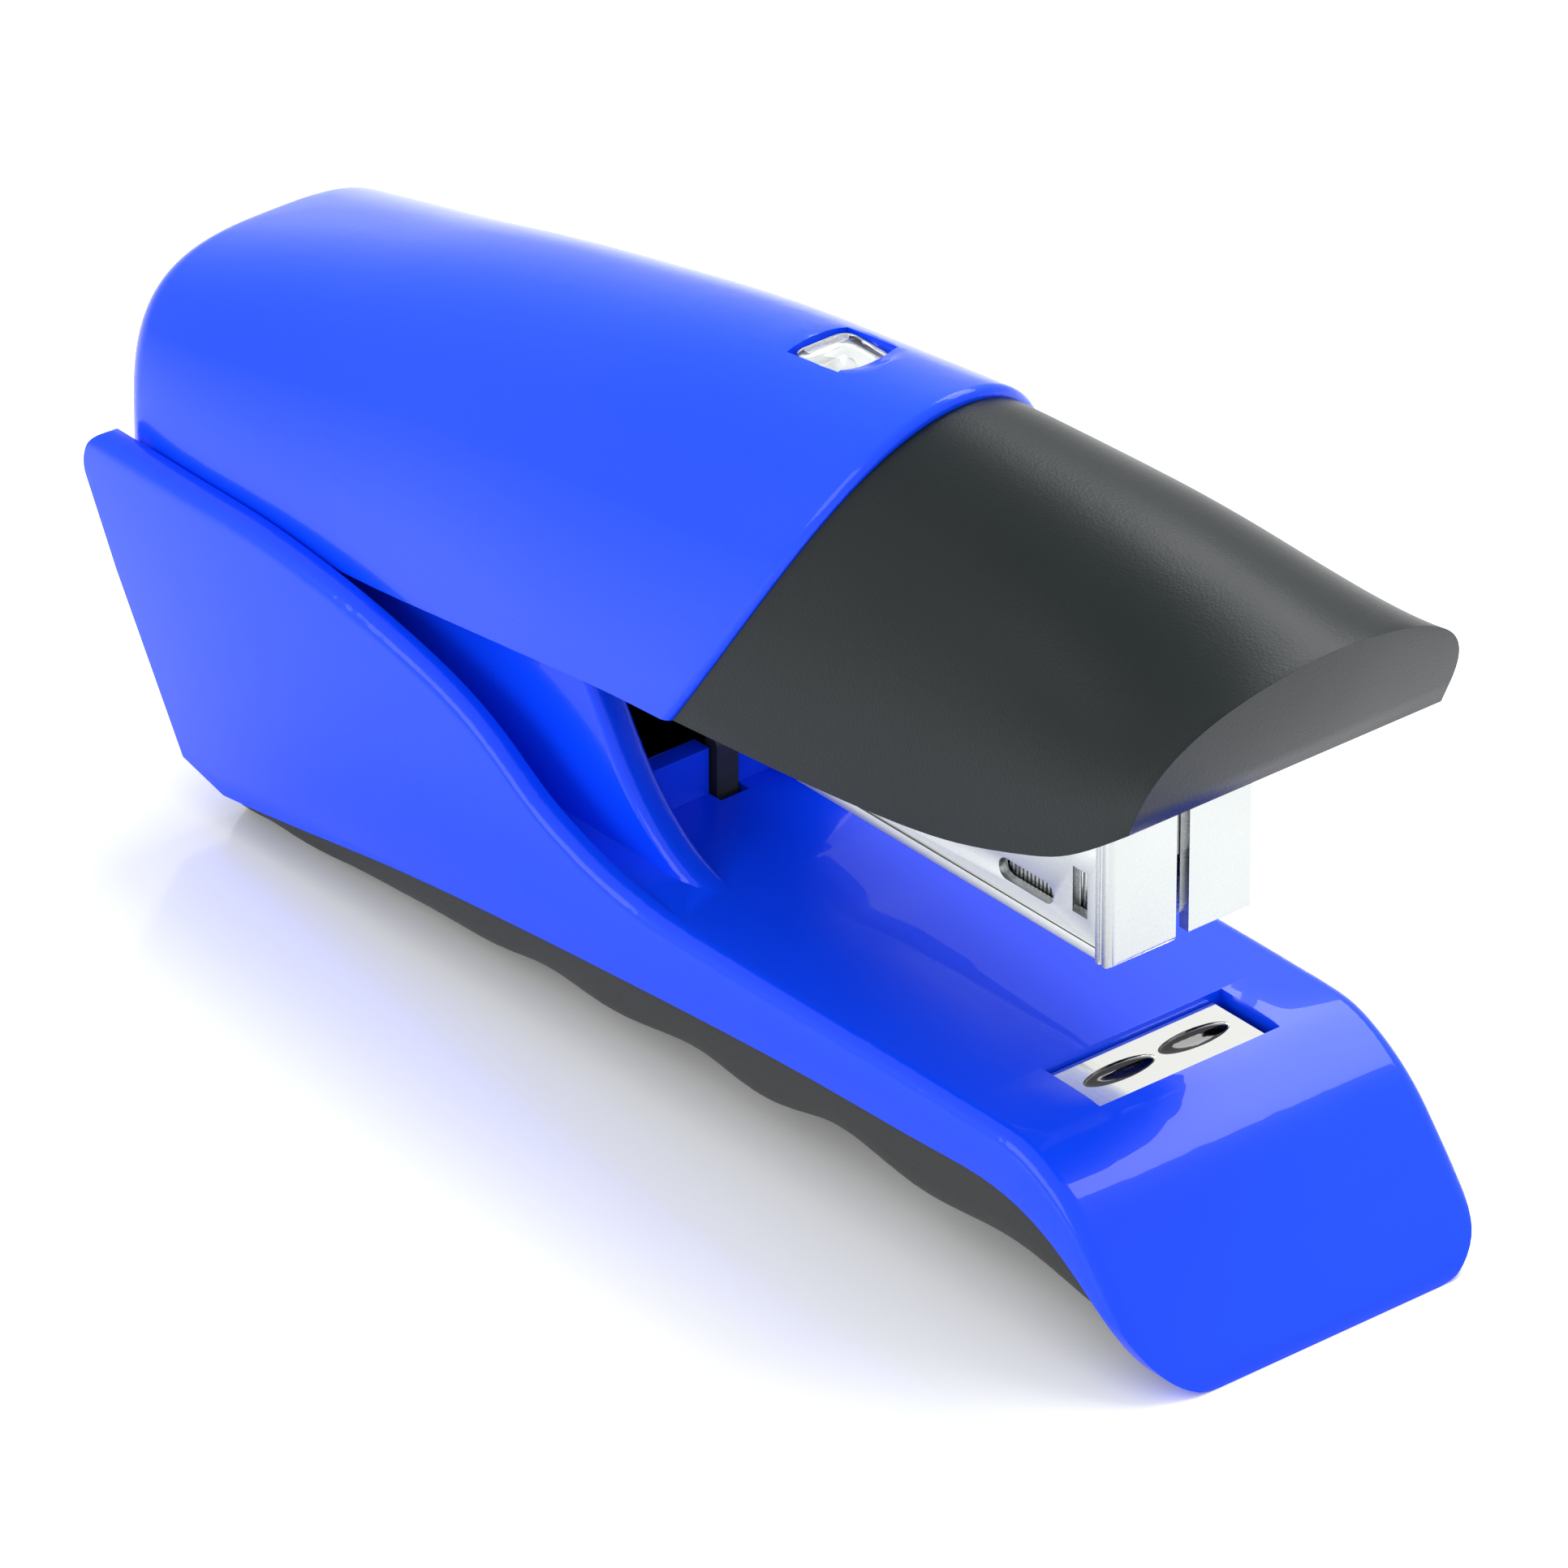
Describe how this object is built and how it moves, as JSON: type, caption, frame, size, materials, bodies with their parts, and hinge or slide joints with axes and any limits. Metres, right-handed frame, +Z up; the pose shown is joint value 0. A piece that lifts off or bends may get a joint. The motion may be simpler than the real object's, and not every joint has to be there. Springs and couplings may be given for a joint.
{
  "type": "electric stapler",
  "caption": "Hand-held cordless electric stapler: winged base, hinged upper body, sprung magazine, geared crank drive and paper trigger.",
  "frame": {"origin": "centre of the bounding box's underside, on the table", "axes": "+X to the nose, +Y to the left side, +Z up"},
  "size_m": [0.144, 0.038, 0.0698],
  "materials": {
    "blue_plastic": "gloss, moulded",
    "black_plastic": "matte, fine texture",
    "grey_plastic": "satin, fine grain",
    "chrome": "polished",
    "steel": "cold rolled",
    "nickel": "satin nickel plate",
    "staple_metal": "galvanised wire",
    "spring_steel": "spring steel",
    "cell_wrap": "printed wrap with no text",
    "contact_metal": "nickel plated",
    "board_green": "solder mask",
    "lamp": "light-emitting diode",
    "clear_plastic": "clear, polished",
    "brass": "machined",
    "white_nylon": "moulded nylon"
  },
  "bodies": {
    "base": {"base_shell": "blue_plastic", "bottom_grip": "black_plastic", "anvil_plate": "chrome", "pivot_pin": "steel", "pivot_clips": "steel", "base_screws": "steel", "trigger_axle": "steel", "micro_switch": "black_plastic"},
    "head": {"head_frame": "steel", "battery_tray": "black_plastic", "left_cell": "cell_wrap", "right_cell": "cell_wrap", "front_contacts": "contact_metal", "motor": "steel", "motor_cradle": "black_plastic", "gear_frame": "steel", "gear_axles": "steel", "circuit_board": "board_green", "button_switch": "black_plastic", "indicator_led": "lamp", "top_shell": "blue_plastic", "nose_cover": "grey_plastic", "return_spring": "spring_steel", "button_spring": "spring_steel"},
    "door": {"battery_door": "blue_plastic", "rear_contact": "contact_metal"},
    "button": {"lens_button": "clear_plastic"},
    "magazine": {"magazine_channel": "nickel", "front_casing": "nickel", "staple_rail": "nickel", "pusher_rod": "steel", "staple_strip": "staple_metal", "pusher_spring": "spring_steel"},
    "pusher": {"pusher": "black_plastic"},
    "driver": {"driver_blade": "steel"},
    "motor_pinion": {"motor_pinion": "brass", "motor_shaft": "steel"},
    "first_gear": {"first_gear": "white_nylon"},
    "second_gear": {"second_gear": "white_nylon"},
    "crank": {"crank_gear": "white_nylon", "crank_pin": "steel"},
    "lever": {"drive_lever": "steel"},
    "trigger": {"paper_trigger": "black_plastic"}
  },
  "joints": [
    {"name": "head_open", "type": "hinge", "parent": "base", "child": "head", "pos_m": [-0.05, 0, 0.0245], "axis": [0, -1, 0], "range_deg": [0, 10]},
    {"name": "crank_turn", "type": "hinge", "parent": "head", "child": "crank", "pos_m": [0.037, 0, 0.0518], "axis": [0, 1, 0], "range_deg": [0, 180]},
    {"name": "second_gear_turn", "type": "hinge", "parent": "head", "child": "second_gear", "pos_m": [0.024, 0, 0.0518], "axis": [0, 1, 0], "range_deg": [-601, 0]},
    {"name": "first_gear_turn", "type": "hinge", "parent": "head", "child": "first_gear", "pos_m": [0.013, 0, 0.0518], "axis": [0, 1, 0], "range_deg": [0, 2041]},
    {"name": "motor_turn", "type": "hinge", "parent": "head", "child": "motor_pinion", "pos_m": [0.00347, 0, 0.0463], "axis": [0, 1, 0], "range_deg": [-6937, 0]},
    {"name": "lever_swing", "type": "hinge", "parent": "head", "child": "lever", "pos_m": [0.013, 0, 0.0518], "axis": [0, 1, 0], "range_deg": [0, 27.77]},
    {"name": "magazine_press", "type": "hinge", "parent": "head", "child": "magazine", "pos_m": [-0.05, 0, 0.0245], "axis": [0, 1, 0], "range_deg": [0, 6.51]},
    {"name": "driver_stroke", "type": "slide", "parent": "magazine", "child": "driver", "axis": [0, 0, -1], "range_m": [0, 0.00731]},
    {"name": "pusher_slide", "type": "slide", "parent": "magazine", "child": "pusher", "axis": [1, 0, 0], "range_m": [-0.006, 0], "stiffness_N_per_m": 20, "springref_m": 0.01, "deforming": ["pusher_spring"]},
    {"name": "button_press", "type": "slide", "parent": "head", "child": "button", "axis": [0, 0, -1], "range_m": [0, 0.0008], "stiffness_N_per_m": 400, "springref_m": -0.0005, "deforming": ["button_spring"]},
    {"name": "trigger_swing", "type": "hinge", "parent": "base", "child": "trigger", "pos_m": [-0.0072, 0, 0.011], "axis": [0, -1, 0], "range_deg": [0, 12], "stiffness_Nm_per_rad": 0.003, "springref_deg": -11.46},
    {"name": "door_pull", "type": "slide", "parent": "head", "child": "door", "axis": [-1, 0, 0], "range_m": [0, 0.012]}
  ],
  "couplings": [
    {"joint": "second_gear_turn", "follows": "crank_turn", "ratio": -3.3333},
    {"joint": "first_gear_turn", "follows": "crank_turn", "ratio": 11.333},
    {"joint": "motor_turn", "follows": "crank_turn", "ratio": -38.533},
    {"joint": "lever_swing", "follows": "crank_turn", "ratio": 0.15422},
    {"joint": "magazine_press", "follows": "crank_turn", "ratio": 0.036111},
    {"joint": "driver_stroke", "follows": "crank_turn", "m_per_rad": 0.0023237}
  ]
}
